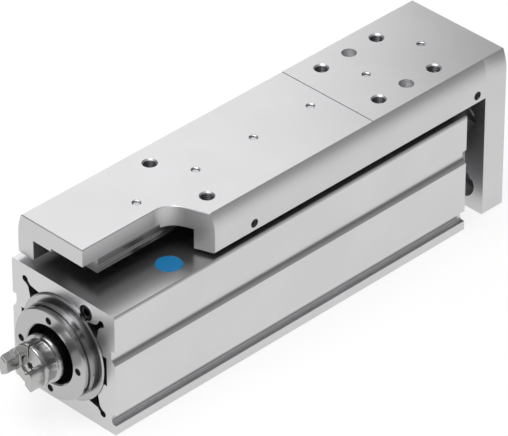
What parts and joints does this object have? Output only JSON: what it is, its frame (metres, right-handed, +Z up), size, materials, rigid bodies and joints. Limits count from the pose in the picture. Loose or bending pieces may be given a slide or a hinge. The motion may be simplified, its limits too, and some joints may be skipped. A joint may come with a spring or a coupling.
{
  "type": "ball screw linear module",
  "caption": "Compact electric slide: extruded body with a ball screw inside, guided notched slide plate on top, yoke plate at the rod end and a jaw coupling at the motor end.",
  "frame": {"origin": "middle of the flat underside of the body", "axes": "+Y along the travel from the motor end to the yoke, +Z up out of the slide face, +X to the notched side"},
  "size_m": [0.045, 0.1934, 0.0598],
  "materials": {
    "profile_aluminium": "extruded, natural anodised, fine lines along the length",
    "machined_aluminium": "milled and natural anodised, satin",
    "turned_aluminium": "turned, fine rings",
    "cap_aluminium": "die cast and milled, satin",
    "hub_aluminium": "turned and milled, bright",
    "rail_steel": "ground bearing steel",
    "ball_steel": "polished bearing steel",
    "screw_steel": "zinc plated steel",
    "dark_screw": "black oxide steel",
    "rod_chrome": "hard chromed and polished",
    "bronze": "sintered bronze, oil filled",
    "plug_blue": "moulded blue plastic",
    "seal_rubber": "black rubber",
    "guide_plastic": "natural acetal plastic",
    "dark_plastic": "black moulded plastic",
    "magnet": "plastic bonded ferrite"
  },
  "bodies": {
    "body_unit": {"profile_housing": "profile_aluminium", "motor_flange": "turned_aluminium", "flange_lock_screw": "screw_steel", "bearing_outer_ring": "rail_steel", "bearing_balls": "ball_steel", "bearing_cage": "dark_plastic", "bearing_clamp_ring": "screw_steel", "motor_end_buffer": "seal_rubber", "rod_end_cap": "cap_aluminium", "rod_bush": "bronze", "wiper_seal": "seal_rubber", "rod_end_buffer": "seal_rubber", "end_cap_screws": "screw_steel", "lubrication_plug": "plug_blue", "guide_carriage": "rail_steel", "carriage_front_cap": "dark_plastic", "carriage_rear_cap": "dark_plastic", "carriage_screws": "screw_steel", "guide_balls": "ball_steel"},
    "screw_unit": {"spindle": "rail_steel", "bearing_inner_ring": "rail_steel", "lock_nut": "dark_screw", "coupling_hub": "hub_aluminium", "coupling_screw": "screw_steel", "spindle_support_ring": "guide_plastic"},
    "slide_unit": {"slide_plate": "machined_aluminium", "guide_rail": "rail_steel", "rail_screws": "screw_steel", "yoke_plate": "machined_aluminium", "yoke_screws": "screw_steel", "yoke_dowels": "rail_steel", "rod_bolt": "screw_steel", "piston_rod": "rod_chrome", "ball_nut": "rail_steel", "nut_balls": "ball_steel", "nut_guide_ring": "guide_plastic", "nut_magnet_ring": "magnet"}
  },
  "joints": [
    {"name": "slide_travel", "type": "slide", "parent": "body_unit", "child": "slide_unit", "axis": [0, 1, 0], "range_m": [0, 0.075]},
    {"name": "spindle_turn", "type": "hinge", "parent": "body_unit", "child": "screw_unit", "pos_m": [0, 0, 0.022], "axis": [0, 1, 0], "range_deg": [-2705, 5]}
  ],
  "couplings": [
    {"joint": "spindle_turn", "follows": "slide_travel", "rad_per_m": -628.32}
  ]
}
